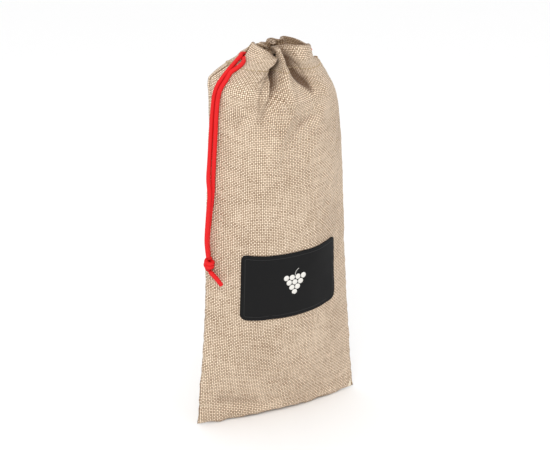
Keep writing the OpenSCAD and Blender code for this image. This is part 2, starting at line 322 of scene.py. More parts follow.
def tube(name, path, radius, material, sides=14, squash=1.0):
    """A cord along a path: one ring extruded from point to point, with a rounded cap at each end."""
    bm = bmesh.new()
    layer = bm.loops.layers.uv.new("cloth")
    across = None
    rings, marks, run = [], [], 0.0
    last = len(path) - 1
    steps = [(0, 0.55), (0, 0.9)] + [(k, 1.0) for k in range(len(path))] + [(last, 0.9), (last, 0.55)]
    for number, (k, share) in enumerate(steps):
        along = (path[min(k + 1, len(path) - 1)] - path[max(k - 1, 0)]).normalized()
        if across is None:
            across = along.orthogonal().normalized()
        across = (across - along * across.dot(along)).normalized()
        up = along.cross(across)
        shift = 0.0
        if number < 2:
            shift = -radius * (0.45 if number == 0 else 0.25)
        if number >= len(steps) - 2:
            shift = radius * (0.25 if number == len(steps) - 2 else 0.45)
        centre = path[k] + along * shift
        ring = [centre + radius * share * (math.cos(a) * across + squash * math.sin(a) * up)
                for a in (2 * math.pi * i / sides for i in range(sides))]
        if k and share == 1.0:
            run += (path[k] - path[k - 1]).length
        rings.append([bm.verts.new(p) for p in ring])
        marks.append(run)
    for j in range(len(rings) - 1):
        for i in range(sides):
            n = (i + 1) % sides
            face = bm.faces.new((rings[j][i], rings[j][n], rings[j + 1][n], rings[j + 1][i]))
            for loop, (u, v) in zip(face.loops, ((i, j), (i + 1, j), (i + 1, j + 1), (i, j + 1))):
                loop[layer].uv = (u / sides, marks[v])
    bm.faces.new(list(reversed(rings[0])))
    bm.faces.new(rings[-1])
    bmesh.ops.recalc_face_normals(bm, faces=bm.faces)
    return add_piece(name, bm, material)


ROUTES = {
    "left_front_strand": [[-24, -3.2, 310.5], [-29.8, -4, 310.5], [-33, -9.5, 309.6],
        [-37, -12.9, 308], [-41.5, -13.3, 305.7], [-46, -13, 303], [-51, -15, 298.2],
        [-55, -14.5, 292.5], [-56.5, -12, 285], [-57.5, -10, 270], [-58, -8.8, 255],
        [-59.5, -8, 231], [-60.2, -7.4, 218], [-61, -7.4, 205], [-63, -6, 187],
        [-65.3, -6, 169], [-65.4, -6, 160], [-65.1, -6.2, 154]],
    "left_back_strand": [[-24, 3.2, 312], [-29.5, 0.6, 313], [-33, -3.5, 312], [-37, -5.6, 310],
        [-41, -7.8, 307.8], [-45.5, -9.6, 305], [-51.5, -11.2, 300], [-56.5, -11.1, 293.5],
        [-58.3, -8.4, 285], [-59.6, -6.8, 270], [-60.4, -5.7, 255], [-62.2, -5.2, 231],
        [-64.1, -6.8, 218], [-64.6, -9.2, 205], [-66, -8.4, 187], [-67.9, -9, 169],
        [-67.7, -9.3, 160], [-67.2, -9.6, 154]],
    "right_front_strand": [[24, -3.2, 309], [29.5, -2, 309.5], [32.8, 3, 309.2],
        [34.8, 8.5, 307.5], [37.5, 14, 304], [41.5, 18, 299], [45, 18.8, 292],
        [47.3, 17.6, 284], [50.5, 16, 270], [52.8, 14.8, 255], [55.2, 14, 235], [57, 13.5, 210],
        [57.8, 13.4, 185], [58.2, 13.8, 170], [58.4, 14.2, 154]],
    "right_back_strand": [[24, 3.2, 310], [28.3, 3.6, 310.6], [30.4, 8, 309.2],
        [31.3, 13.5, 306.3], [35, 19.5, 301.8], [39, 22.5, 297], [41.5, 22.5, 291],
        [43.5, 20.8, 283], [47, 18.8, 269], [49.5, 17.2, 254], [52, 16.4, 234], [54, 15.9, 209],
        [55, 16, 185], [55.4, 16.4, 170], [55.7, 16.8, 154]],
}
TAILS = {
    "left": [[[-65.8, -10.6, 140.3], [-64, -12.8, 137.8], [-62, -14.4, 135], [-59.4, -16.7, 130.5]],
             [[-64.8, -6.6, 140.3], [-62.8, -9, 137.3], [-60.8, -11, 134.5], [-58.5, -13.2, 130.3]]],
    "right": [[[58.3, 13.7, 140.3], [58.8, 14, 136], [59.5, 15, 130], [60, 16.5, 123]],
             [[55.8, 17.3, 140.3], [56.2, 18.5, 136], [57.5, 20, 130], [58.5, 21, 124]]],
}


def knot_path(low, high):
    """An overhand knot pulled tight: wraps round the doubled cord, crossed by one slanting turn."""
    centre = (Vector(low) + Vector(high)) / 2
    wide, tall = (high[0] - low[0]) / 2, (high[2] - low[2]) / 2
    reach = wide - CORD_D / 2
    turns = 2.6
    path = []
    for k in range(61):
        f = k / 60
        a = 2 * math.pi * turns * f
        drop = tall * (0.62 - 1.24 * f) + 0.16 * tall * math.sin(a + 0.6)
        r = reach * (0.35 + 0.65 * math.sin(math.pi * min(1, max(0, f * 1.04 - 0.02))) ** 0.45)
        path.append(centre + Vector((r * math.cos(a), r * math.sin(a), drop)))
    return path


def make_cord_end(side):
    body = f"{side}_cord_end"
    low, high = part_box(f"{side}_knot")
    knot = tube(f"{side}_overhand_knot", knot_path(low, high), CORD_D / 2, CORD_RED, sides=14)
    tails = [tube(f"{side}_tail_{i + 1}", through(route), CORD_D / 2, CORD_RED)
             for i, route in enumerate(TAILS[side])]
    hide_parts(f"{side}_knot")
    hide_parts(f"{side}_tails")
    for piece in [knot] + tails:
        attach(piece, body)
    for run in ("front", "back"):
        node = f"{side}_{run}_strand"
        path = through(ROUTES[node])
        strand = tube(f"{side}_{run}_cord", path, CORD_D / 2, CORD_RED)
        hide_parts(node)
        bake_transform(strand)
        length_of(path)


for side in ("left", "right"):
    make_cord_end(side)


# ---------------------------------------------------------------- the bag's cloth, laid flat and gathered
COLUMNS = 120                # round the bag, starting at the left seam and going along the front
ROWS = 100                   # from the bottom seam to the top edge
HALF = COLUMNS // 2
STEP_S = 2 * FLAT_W / COLUMNS
STEP_T = FLAT_H / ROWS
FLOOR_DEPTH = 7.5 * MM       # how far the floor spreads each way from the bottom seam
SHOULDER_T = 294 * MM        # flat height of the shoulders
CHANNEL_T = 334.65 * MM      # flat height of the cords
PLEAT_T = 268 * MM           # flat height where the pleats run out
SETTLE_FRAMES = 16


def spline(keys, at):
    """A smooth value through (place, value) keys."""
    places = np.array([k[0] for k in keys], float)
    values = np.array([k[1] for k in keys], float)
    slopes = np.gradient(values, places)
    i = np.clip(np.searchsorted(places, at, side="right") - 1, 0, len(places) - 2)
    h = places[i + 1] - places[i]
    f = (at - places[i]) / h
    return ((1 + 2 * f) * (1 - f) ** 2 * values[i] + f * (1 - f) ** 2 * h * slopes[i]
            + f * f * (3 - 2 * f) * values[i + 1] + f * f * (f - 1) * h * slopes[i + 1])


def bow(half_width):
    """The cross-section of one panel, seam to seam: an arc as long as the flat width."""
    angle = np.full_like(half_width, 0.8)
    for _ in range(40):
        wanted = np.clip(half_width / (FLAT_W / 2), 0.3, 0.9995)
        angle -= (np.sin(angle) / angle - wanted) / ((np.cos(angle) * angle - np.sin(angle)) / angle ** 2)
        angle = np.clip(angle, 0.03, 2.6)
    u = np.linspace(-1, 1, HALF + 1)
    radius = FLAT_W / 2 / angle
    x = radius[:, None] * np.sin(angle[:, None] * u)
    y = radius[:, None] * (np.cos(angle[:, None] * u) - np.cos(angle)[:, None])
    return x, y


# Where the side seams run: (flat height, x, z) in mm
LEFT_SEAM = [(0, -74.8, 0), (60, -70.2, 59.5), (130, -65.8, 129), (210, -62.4, 208),
             (270, -59.6, 267.5), (288, -58.6, 285.5), (297, -58.4, 294.5), (300, -57.9, 296.8),
             (304, -54.5, 299), (318, -42.5, 305), (334.65, -27.5, 311.5), (345, -25, 321.5)]
RIGHT_SEAM = [(0, 74.8, 0), (60, 70.2, 59.5), (130, 65.8, 129), (210, 62.4, 208), (240, 60.5, 237),
              (262, 57.8, 257), (283, 54, 275), (297, 48.6, 286), (310, 43, 295), (322, 37.5, 302),
              (334.65, 32, 306), (345, 31, 315)]
# The neck from slit to slit, seen from above, in mm, and how far its edge stands up (the rest turns in)
FRONT_NECK = [(-27, -1.5, 0.85), (-27.5, -8, 0.8), (-25.5, -15, 0.7), (-20.5, -20.5, 0.45),
              (-14.5, -23.5, 0.1), (-10, -22.5, 0), (-10.5, -18, -0.1), (-11.5, -13, 0.2),
              (-10.5, -8.5, 0.5), (-8.5, -9, 0.6), (-7.5, -15, 0.7), (-8, -21, 0.9), (-7.3, -25.5, 1),
              (-5.5, -26, 1), (-4, -22, 1), (-3, -15, 0.9), (-1, -9.5, 0.8), (2.5, -8, 0.7),
              (6, -10.5, 0.8), (8, -16, 0.95), (12, -20.5, 1), (18, -20, 1), (24, -16, 0.9),
              (29, -9.5, 0.8), (32, -1.5, 0.75)]
BACK_NECK = [(32, 1.5, 0.75), (30.5, 9, 0.8), (25.5, 15, 0.95), (20, 19.5, 1), (15.5, 19, 0.97),
             (14, 14.5, 0.97), (12.5, 11, 0.97), (10, 11, 0.97), (9.5, 15, 0.95), (7.5, 21, 0.92),
             (2.5, 21.5, 0.85), (0, 18, 0.78), (0, 13, 0.78), (-2.5, 12, 0.78), (-4.5, 13, 0.75),
             (-5, 17, 0.7), (-8.5, 21, 0.7), (-13, 19.5, 0.7), (-14, 13, 0.5), (-15, 8, 0.4),
             (-17, 10, 0.5), (-19, 15.5, 0.55), (-23.5, 13.5, 0.5), (-27, 7, 0.6), (-27, 1.5, 0.85)]
# How far the front edge leans sideways at each x, in mm
LEAN = [(-27, 0), (-12, -1), (-8, -3.5), (-4, -4.5), (0, -5), (8, -5.5), (14, -3), (24, 0), (32, 1.5)]
# The neck's outline without its pleats
FRONT_OUTLINE = [(-27, -1.5), (-27.5, -8), (-25.5, -15), (-20.5, -20.5), (-12, -24.5), (0, -26),
                 (10, -24), (19, -20), (26, -14), (31, -7), (32, -1.5)]
BACK_OUTLINE = [(32, 1.5), (31, 8), (27, 15), (19, 20), (8, 22), (-4, 22), (-14, 20.5), (-22, 16),
                (-26.5, 9), (-27, 1.5)]


def even_points(path, count):
    """Evenly spaced points along a smooth path, with any further values carried along."""
    path = np.array(path, float)
    fine = np.array([through_row(path, k) for k in np.linspace(0, len(path) - 1, 600)])
    run = np.concatenate([[0], np.cumsum(np.linalg.norm(np.diff(fine[:, :2], axis=0), axis=1))])
    at = np.linspace(0, run[-1], count)
    return np.stack([np.interp(at, run, column) for column in fine.T], 1)


def through_row(p, k):
    i = min(int(k), len(p) - 2)
    t = k - i
    a, b, c, d = p[max(0, i - 1)], p[i], p[i + 1], p[min(len(p) - 1, i + 2)]
    return 0.5 * (2 * b + (c - a) * t + (2 * a - 5 * b + 4 * c - d) * t * t + (3 * b - a - 3 * c + d) * t ** 3)


def first_shape():
    """The gathered bag as a grid of points [row, column, xyz] with its pleats placed as listed in the neck
    tables.
    """
    t = np.arange(ROWS + 1) * STEP_T
    left = [spline([(k[0], k[n]) for k in LEFT_SEAM], t / MM) * MM for n in (1, 2)]
    right = [spline([(k[0], k[n]) for k in RIGHT_SEAM], t / MM) * MM for n in (1, 2)]
    low = np.minimum(t, SHOULDER_T)
    lx = spline([(k[0], k[1]) for k in LEFT_SEAM], low / MM) * MM
    rx = spline([(k[0], k[1]) for k in RIGHT_SEAM], low / MM) * MM
    x, y = bow((rx - lx) / 2)
    u = np.linspace(-1, 1, HALF + 1)
    share = (u + 1) / 2
    gather = np.clip((t - SHOULDER_T) / (CHANNEL_T - SHOULDER_T), 0, 1)[:, None] ** 0.9
    pleat = np.clip((t - PLEAT_T) / (CHANNEL_T - PLEAT_T), 0, 1)[:, None]
    edge = CHANNEL_T + (FLAT_H - CHANNEL_T) * np.clip((t - CHANNEL_T) / (FLAT_H - CHANNEL_T), 0, 1)[:, None]
    above = edge - CHANNEL_T
    grid = np.zeros((ROWS + 1, COLUMNS, 3))
    for sign, neck, outline, columns in (
            (-1, FRONT_NECK, FRONT_OUTLINE, np.arange(HALF + 1)),
            (1, BACK_NECK[::-1], BACK_OUTLINE[::-1], (COLUMNS - np.arange(HALF + 1)) % COLUMNS)):
        ring = even_points(neck, HALF + 1)
        plain = even_points(outline, HALF + 1)
        ring[:, :2] *= MM
        plain *= MM
        fold = ring[:, :2] - plain
        side_z = left[1][:, None] * (1 - share) + right[1][:, None] * share
        floor_z = t[:, None] - FLOOR_DEPTH * (1 - u * u)
        px = x + ((rx + lx) / 2)[:, None]
        py = sign * y
        pz = side_z - FLOOR_DEPTH * (1 - u * u) * (1 - gather)
        lying = floor_z < 0
        py = np.where(lying, sign * t[:, None], py)
        pz = np.where(lying, 0, pz)
        px = px * (1 - gather) + plain[:, 0] * gather + fold[:, 0] * pleat
        py = py * (1 - gather) + plain[:, 1] * gather + fold[:, 1] * pleat
        px = (px + (left[0][:, None] - px[:, :1]) * (1 - share) ** 4
              + (right[0][:, None] - px[:, -1:]) * share ** 4)
        # above the cords the edge stands up, or turns in towards the middle
        stand = ring[:, 2] * 0.98
        turned = np.interp(plain[:, 0] / MM, (-27, -10, 10, 32), (0.6, 1, 0.6, 0.1))
        inward = above * np.sqrt(1 - stand ** 2) * turned
        far = np.maximum(np.hypot(px, py), 1e-6)
        px = px - px / far * inward - 0.1 * above * np.sign(px)
        py = py - py / far * inward - 0.1 * above * np.sign(py)
        if sign < 0:
            lean = np.interp(plain[:, 0] / MM, *np.array(LEAN).T) * MM
            px = px + lean * above / (FLAT_H - CHANNEL_T)
            pz = pz - 3.5 * MM * np.exp(-((plain[:, 0] / MM + 12) / 4.5) ** 2) * gather ** 2
        channel_z = pz[int(round(CHANNEL_T / STEP_T))]
        pz = np.where(above > 0, channel_z + above * stand, pz)
        grid[:, columns, 0] = px
        grid[:, columns, 1] = py
        grid[:, columns, 2] = pz + 0.6 * MM
    return grid


def settle(grid):
    """The cloth relaxes between its seams, its bottom and the cords, at its own flat lengths."""
    mesh = bpy.data.meshes.new("settling cloth")
    index = np.arange((ROWS + 1) * COLUMNS).reshape(ROWS + 1, COLUMNS)
    a, b = index[:-1], index[1:]
    quads = np.stack([a, np.roll(a, -1, 1), np.roll(b, -1, 1), b], -1).reshape(-1, 4)
    mesh.from_pydata(grid.reshape(-1, 3).tolist(), [], quads.tolist())
    cloth = bpy.data.objects.new("settling cloth", mesh)
    bpy.context.collection.objects.link(cloth)
    cloth.shape_key_add(name="gathered")
    rest = cloth.shape_key_add(name="flat cloth")
    angle = 2 * math.pi * np.arange(COLUMNS) / COLUMNS
    radius = STEP_S / 2 / math.sin(math.pi / COLUMNS)
    flat = np.zeros_like(grid)
    flat[..., 0] = -radius * np.cos(angle)
    flat[..., 1] = -radius * np.sin(angle)
    flat[..., 2] = (np.arange(ROWS + 1) * STEP_T)[:, None]
    rest.data.foreach_set("co", flat.reshape(-1))
    pinned = cloth.vertex_groups.new(name="held")
    weight = np.zeros((ROWS + 1, COLUMNS))
    height = np.arange(ROWS + 1) * STEP_T
    soft = np.clip((height - PLEAT_T - 12 * MM) / (CHANNEL_T - PLEAT_T - 12 * MM), 0, 1) ** 0.5 * 0.75
    weight[:] = soft[:, None]
    weight[0] = 1
    weight[int(round(CHANNEL_T / STEP_T))] = 1
    weight[ROWS] = 1
    weight[:, [0, HALF]] = 1
    for number, value in enumerate(weight.reshape(-1)):
        if value > 0:
            pinned.add([number], float(value), "REPLACE")
    modifier = cloth.modifiers.new("Cloth", "CLOTH")
    s = modifier.settings
    s.quality = 8
    s.mass = 0.02
    s.air_damping = 2
    s.tension_stiffness = s.compression_stiffness = 40
    s.shear_stiffness = 10
    s.bending_stiffness = 5
    s.tension_damping = s.compression_damping = 10
    s.bending_damping = 1
    s.vertex_group_mass = "held"
    s.rest_shape_key = rest
    s.use_pressure = True
    s.uniform_pressure_force = 0.4
    s.pin_stiffness = 3
    s.effector_weights.gravity = 0.3
    modifier.collision_settings.use_collision = False
    modifier.collision_settings.use_self_collision = True
    modifier.collision_settings.self_distance_min = 1.2 * MM
    modifier.collision_settings.self_friction = 5
    modifier.collision_settings.collision_quality = 2
    modifier.point_cache.frame_start = 1
    modifier.point_cache.frame_end = SETTLE_FRAMES
    scene = bpy.context.scene
    for number in range(1, SETTLE_FRAMES + 1):
        scene.frame_set(number)
    done = cloth.evaluated_get(bpy.context.evaluated_depsgraph_get()).to_mesh()
    points = np.zeros(len(done.vertices) * 3)
    done.vertices.foreach_get("co", points)
    bpy.data.objects.remove(cloth)
    return points.reshape(ROWS + 1, COLUMNS, 3)



def finer(grid, k):
    """The same surface with k times the rows and columns, on smooth curves through its points."""
    def curve(p, count, closed):
        n = len(p)
        at = np.arange(count) / k
        i = np.minimum(at.astype(int), n - 1 if closed else n - 2)
        f = (at - i)[:, None, None]
        a, b, c, d = (p[(i + j) % n if closed else np.clip(i + j, 0, n - 1)] for j in (-1, 0, 1, 2))
        return 0.5 * (2 * b + (c - a) * f + (2 * a - 5 * b + 4 * c - d) * f ** 2
                      + (3 * b - a - 3 * c + d) * f ** 3)
    grid = curve(grid, ROWS * k + 1, False)
    return curve(grid.swapaxes(0, 1), COLUMNS * k, True).swapaxes(0, 1)


# Creases that the gathers press into the cloth: side of the bag, then (z, x, half width, depth) in mm.
# Each has a steep wall at the left, as seen from the front, and runs out gently to the right.
CREASES = [
    (-1, [(268, -26, 6, 0), (276, -22, 6.5, 2), (284, -17.5, 6.5, 6), (292, -13.5, 6, 9), (300, -10.5, 5, 8),
          (306, -8.5, 4, 3), (310, -8, 3, 0)]),
    (-1, [(266, 36, 13, 0), (275, 29, 12, 2.5), (284, 21, 11, 6), (291, 13.5, 9.5, 9), (298, 7, 8.5, 9),
          (305, 3, 7, 3), (311, 2, 5, 0)]),
    (1, [(272, 24, 7, 0), (284, 17, 6, 3.5), (296, 13, 5, 6), (306, 11, 3, 2), (310, 11, 3, 0)]),
    (1, [(266, -2, 9, 0), (280, -1, 7, 3.5), (294, -0.5, 5, 6), (306, -1, 3, 2), (310, -1, 3, 0)]),
    (1, [(274, -30, 7, 0), (286, -23, 6, 3.5), (297, -18, 4.5, 5), (306, -15, 3, 2), (310, -15, 3, 0)]),
]


def smoothed(f):
    f = np.clip(f, 0, 1)
    return f * f * (3 - 2 * f)


def press_creases(points):
    for side, path in CREASES:
        z, x, half, deep = np.array(path).T * MM
        q = (points[..., 0] - np.interp(points[..., 2], z, x)) / np.interp(points[..., 2], z, half)
        depth = np.interp(points[..., 2], z, deep, left=0, right=0)
        depth = depth * smoothed((q + 1) / 0.6) * smoothed((1 - q) / 1.4)
        points[..., 1] -= side * np.where(side * points[..., 1] > 8 * MM, depth, 0)


# ---------------------------------------------------------------- pieces of cloth
FINER = 2
grid = finer(settle(first_shape()), FINER)
spread = 1 - np.linspace(0, FLAT_H / (90 * MM), len(grid))
grid[..., 0] *= 1 + 0.022 * np.clip(spread, 0, 1)[:, None]  # the flat foot spreads as the bag stands on it
press_creases(grid)
ROWS, COLUMNS, HALF = ROWS * FINER, COLUMNS * FINER, HALF * FINER
STEP_S, STEP_T = STEP_S / FINER, STEP_T / FINER
STITCH_T = CHANNEL_T - 15 * MM      # flat height of the hem's stitches
SLIT_T = CHANNEL_T - 9 * MM         # flat height where the side slits start


def normals_of(points):
    """Outward directions of a grid that closes round the bag."""
    n = np.cross(np.roll(points, -1, 1) - np.roll(points, 1, 1), np.gradient(points, axis=0))
    n /= np.maximum(np.linalg.norm(n, axis=2, keepdims=True), 1e-12)
    return n


def soften(points, times, axis=1):
    """Every row drawn straighter, with its ends left alone."""
    for _ in range(times):
        p = points.swapaxes(0, axis)
        p[1:-1] = (p[:-2] + 2 * p[1:-1] + p[2:]) / 4
    return points


def work_cloth(points):
    """Small unevenness of the woven cloth, and puckers along the sewn seams."""
    n = normals_of(points)
    s = np.arange(COLUMNS) * STEP_S
    t = (np.arange(ROWS + 1) * STEP_T)[:, None]
    ripples = ((3, 2.3, 0.35, 0.4), (7, -3.1, 0.22, 2.1), (11, 6.7, 0.16, 4.0), (19, -9.3, 0.1, 1.2),
               (5, 13.1, 0.1, 5.2))
    wave = sum(size * np.sin(2 * math.pi * (a * s / (2 * FLAT_W) + b * t / FLAT_H) + phase)
               for a, b, size, phase in ripples)
    beside = np.minimum(np.abs(s % FLAT_W), FLAT_W - np.abs(s % FLAT_W))
    pucker = (np.sin(2 * math.pi * (t / 0.0125 + 0.35 * np.sin(t * 61)))
              + 0.6 * np.sin(2 * math.pi * t / 0.0073 + 1.3))
    pucker = 0.26 * pucker * np.exp(-((beside - 3.5 * MM) / (4.5 * MM)) ** 2)
    pucker = pucker * np.clip(1.25 - t / 0.25, 0.35, 1)
    low = np.sin(2 * math.pi * s / 0.017 + 1.1 * np.sin(s * 70)) * 0.35 * np.exp(-(t / (14 * MM)) ** 2)
    fade = np.clip(t / (3 * MM), 0, 1)
    points = points + n * ((wave * 0.8 + pucker + low) * fade * MM)[..., None]
    points[..., 2] -= points[..., 2].min()
    return points


grid = work_cloth(grid)
outward = normals_of(grid)


def painted_crease_shade(points, n):
    """How deep each point lies in a crease or dip of the cloth, from 0 to 1: the amount of painted shade that
    darkens the jute there.
    """
    wide = points.copy()
    for _ in range(70):
        wide = (np.roll(wide, 1, 1) + 2 * wide + np.roll(wide, -1, 1)) / 4
        wide[1:-1] = (wide[:-2] + 2 * wide[1:-1] + wide[2:]) / 4
    return np.clip(((wide - points) * normals_of(wide)).sum(2) / (4 * MM) - 0.1, 0, 1)


# painted shade for the jute's colour, from how deep each point lies in a crease or dip
hollow = painted_crease_shade(grid, outward)
flat_t = np.arange(ROWS + 1) * STEP_T


def half_of(side):
    """The points, outward directions and flat places of the front (-1) or back (1)."""
    columns = np.arange(HALF + 1) if side < 0 else (np.arange(HALF + 1) + HALF) % COLUMNS
    s = np.arange(HALF + 1) * STEP_S
    return grid[:, columns].copy(), outward[:, columns].copy(), s


def shell(name, outer, inner, s, t, material, inside=None, inside_row=None, ring=False, shade=None):
    """A closed sheet between two grids of points, with the cloth's flat place as its map."""
    rows, columns = outer.shape[:2]
    count = rows * columns
    index = np.arange(count).reshape(rows, columns)
    top = np.roll(index, -1, 0) if ring else index[1:]
    low = index if ring else index[:-1]
    skin = np.stack([low[:, :-1], low[:, 1:], top[:, 1:], top[:, :-1]], -1).reshape(-1, 4)
    if ring:
        edges = [np.stack([low[:, 0], top[:, 0]], 1)[:, ::-1], np.stack([low[:, -1], top[:, -1]], 1)]
    else:
        edges = [np.stack([a[:-1], a[1:]], 1) for a in
                 (index[0], index[:, -1], index[-1, ::-1], index[::-1, 0])]
    edges = np.concatenate(edges)
    rim = np.stack([edges[:, 1], edges[:, 0], edges[:, 0] + count, edges[:, 1] + count], 1)
    faces = np.concatenate([skin, skin[:, ::-1] + count, rim])
    mesh = bpy.data.meshes.new(name)
    both = np.concatenate([outer.reshape(-1, 3), inner.reshape(-1, 3)])
    mesh.from_pydata(both.tolist(), [], faces.tolist())
    place = np.stack(np.broadcast_arrays(s, t), -1).reshape(-1, 2)
    place = np.concatenate([place, place])
    layer = mesh.uv_layers.new(name="cloth")
    corner = np.zeros(len(mesh.loops), int)
    mesh.loops.foreach_get("vertex_index", corner)
    layer.data.foreach_set("uv", place[corner].reshape(-1))
    mesh.materials.append(material)
    # painted shade, kept per point on both layers for the jute material to darken its colour
    if shade is not None:
        depth = mesh.attributes.new("hollow", "FLOAT", "POINT")
        depth.data.foreach_set("value", np.concatenate([shade.reshape(-1)] * 2))
    kinds = np.zeros(len(faces), int)
    if inside:
        mesh.materials.append(inside)
        kinds[len(skin):] = 1
        if inside_row is not None:
            kinds[:len(skin)] = np.repeat(np.arange(rows - 1) >= inside_row, columns - 1)
    mesh.polygons.foreach_set("material_index", kinds)
    mesh.polygons.foreach_set("use_smooth", np.ones(len(faces), bool))
    piece = bpy.data.objects.new(name, mesh)
    bpy.context.collection.objects.link(piece)
    return piece


def at(side, s, t, lift):
    """Points on the front or back cloth at flat places s and t, lifted off its face."""
    points, n, _ = half_of(side)
    s, t = np.broadcast_arrays(np.asarray(s, float), np.asarray(t, float))
    i = np.clip(t / STEP_T, 0, ROWS - 1e-6)
    j = np.clip(s / STEP_S, 0, HALF - 1e-6)
    i0, j0 = i.astype(int), j.astype(int)
    f, g = (i - i0)[..., None], (j - j0)[..., None]
    def mixed(a):
        low = a[i0, j0] * (1 - g) + a[i0, j0 + 1] * g
        high = a[i0 + 1, j0] * (1 - g) + a[i0 + 1, j0 + 1] * g
        return low * (1 - f) + high * f
    lift = np.asarray(lift, float)
    return mixed(points) + mixed(n) * (lift[..., None] if lift.ndim else lift)


def sway(piece):
    """The piece's placement baked into its points."""
    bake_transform(piece)


HEM_ROWS = int(round(22 * MM / STEP_T))

# The cords inside the gathered casing, seen from above, in mm
RUN_PATHS = {
    "front": [(-26, -4), (-23.5, -7), (-20, -8.5), (-16, -8), (-12, -6.2), (-9.5, -5.2), (-5, -5), (0, -4),
              (4, -3.2), (8, -4.5), (14, -9), (20, -9), (25, -7), (28.5, -2.5)],
    "back": [(-24, 4), (-22, 6), (-18, 5.5), (-14, 4.8), (-9, 7), (-4, 7.5), (1, 7.5), (6, 8), (11, 7),
             (16, 8.5), (21, 9), (26, 6.5), (28, 3)],
}


def behind_cords(points, side, rows, room):
    """The hem's inner wall passes on the inside of the cords that it holds."""
    path = np.array(RUN_PATHS["front" if side < 0 else "back"]) * MM
    wall = side * np.interp(points[..., 0], path[:, 0], path[:, 1]) - room
    at_slit = 3.2 * MM - room + 0.9 * np.maximum(23 * MM - np.abs(points[..., 0]), 0)
    wall = np.minimum(wall, at_slit)
    share = np.clip(1.6 * np.exp(-((flat_t[rows] - CHANNEL_T + 3 * MM) / (7 * MM)) ** 2), 0, 1)[:, None]
    out = side * points[..., 1]
    points[..., 1] = side * (out + share * np.minimum(wall - out, 0))
    return points


def make_cloth(side):
    """One face of the bag: outer layer, the fold at the mouth and the hem that is turned in."""
    points, n, s = half_of(side)
    t = flat_t
    below = np.clip((SLIT_T - t) / (4 * MM), 0, 1)
    slit = 0.5 * MM + 1.9 * MM * np.exp(-((t - CHANNEL_T) / (4.5 * MM)) ** 2)
    gap = 0.35 * MM * below + (1 - below) * slit
    for column, inward in ((0, 1.0 if side < 0 else -1.0), (-1, -1.0 if side < 0 else 1.0)):
        points[:, column, 0] += inward * 1.3 * MM * below * np.clip(t / (12 * MM), 0, 1)
        points[:, column, 1] = side * np.maximum(side * points[:, column, 1], gap)
        near = 1 if column == 0 else -2
        points[:, near, 1] = side * np.maximum(side * points[:, near, 1], gap * 1.15)
    points[0, :, 1] = side * 0.25 * MM
    points[0, :, 2] += 1.3 * MM
    inner = soften(points - n * CLOTH, 2)
    up = points[-1] - points[-2]
    up /= np.linalg.norm(up, axis=1, keepdims=True)
    radius = 1.35 * MM
    angles = np.radians([35, 75, 110, 145])[:, None, None]
    fold_out = points[-1] + up * radius * np.sin(angles) - n[-1] * radius * (1 - np.cos(angles))
    small = radius - CLOTH * 0.9
    fold_in = points[-1] + up * small * np.sin(angles) - n[-1] * (radius - small * np.cos(angles))
    rows = np.arange(ROWS, ROWS - HEM_ROWS - 1, -1)
    room = 1.5 * MM + 3.0 * MM * np.exp(-((t[rows] - CHANNEL_T) / (5 * MM)) ** 2)[:, None, None]
    room = room * np.clip(np.minimum(s, FLAT_W - s) / (6 * MM), 0.35, 1)[None, :, None]
    hem_face = soften(points[rows] - n[rows] * (room + CLOTH), 3)
    hem_back = soften(points[rows] - n[rows] * room, 3)
    hem_back = behind_cords(hem_back, side, rows, 1.9 * MM)
    hem_face = behind_cords(hem_face, side, rows, 2.4 * MM)
    marks = np.concatenate([t, FLAT_H + radius * angles[:, 0, 0],
                            FLAT_H + radius * math.pi + (FLAT_H - t[rows])])
    columns = np.arange(HALF + 1) if side < 0 else (np.arange(HALF + 1) + HALF) % COLUMNS
    # painted shade: the crease amount on the outer cloth, and a fixed 0.35 on the fold at the mouth and the
    # turned-in hem
    shade = np.concatenate([hollow[:, columns], np.full((len(angles) + len(rows), HALF + 1), 0.35)])
    cloth = shell(("front" if side < 0 else "back") + "_cloth", np.concatenate([points, fold_out, hem_face]),
                  np.concatenate([inner, fold_in, hem_back]),
                  s[None, :] + (0 if side < 0 else 0.31), marks[:, None],
                  JUTE, JUTE_SHADED_INSIDE, ROWS + 3, shade=shade)
    return cloth


def make_lining(side):
    points, n, s = half_of(side)
    rows = slice(1, int(312 * MM / STEP_T))
    keep = slice(2, -2)
    cloth, gap = points[rows, keep], n[rows, keep]
    outer = soften(cloth - gap * (CLOTH + 0.4 * MM), 3)
    inner = soften(cloth - gap * (CLOTH + 0.9 * MM), 3)
    return shell(("front" if side < 0 else "back") + "_inner_lining", outer, inner, s[None, keep],
                 flat_t[rows][:, None], LINING)


names = {-1: "front", 1: "back"}
cloths, linings = {}, {}
for side in (-1, 1):
    cloths[side] = make_cloth(side)
    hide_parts(f"{names[side]}_panel", f"{names[side]}_casing", f"{names[side]}_hem")
    linings[side] = make_lining(side)
    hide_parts(f"{names[side]}_lining")


def make_seam(side_name, column):
    """The sewn allowance that stands inwards at a side seam."""
    sign = 1 if side_name == "left" else -1
    rows = np.arange(int(4 * MM / STEP_T), int(SLIT_T / STEP_T) - 3, 3)
    edge = grid[rows, column]
    a = np.stack([edge + np.array([sign * d * MM, -0.45 * MM, 0]) for d in (2.2, 4.7, 7.6)], 1)
    b = a + np.array([0, 0.9 * MM, 0])
    if sign < 0:
        a, b = b, a
    seam = shell(f"{side_name}_seam_allowance", a, b,
                 np.array([0, 2.5, 5.4])[None] * MM, flat_t[rows][:, None],
                 JUTE_SHADED_INSIDE)
    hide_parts(f"{side_name}_side_seam")
    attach(seam, "bag")


make_seam("left", 0)
make_seam("right", HALF)


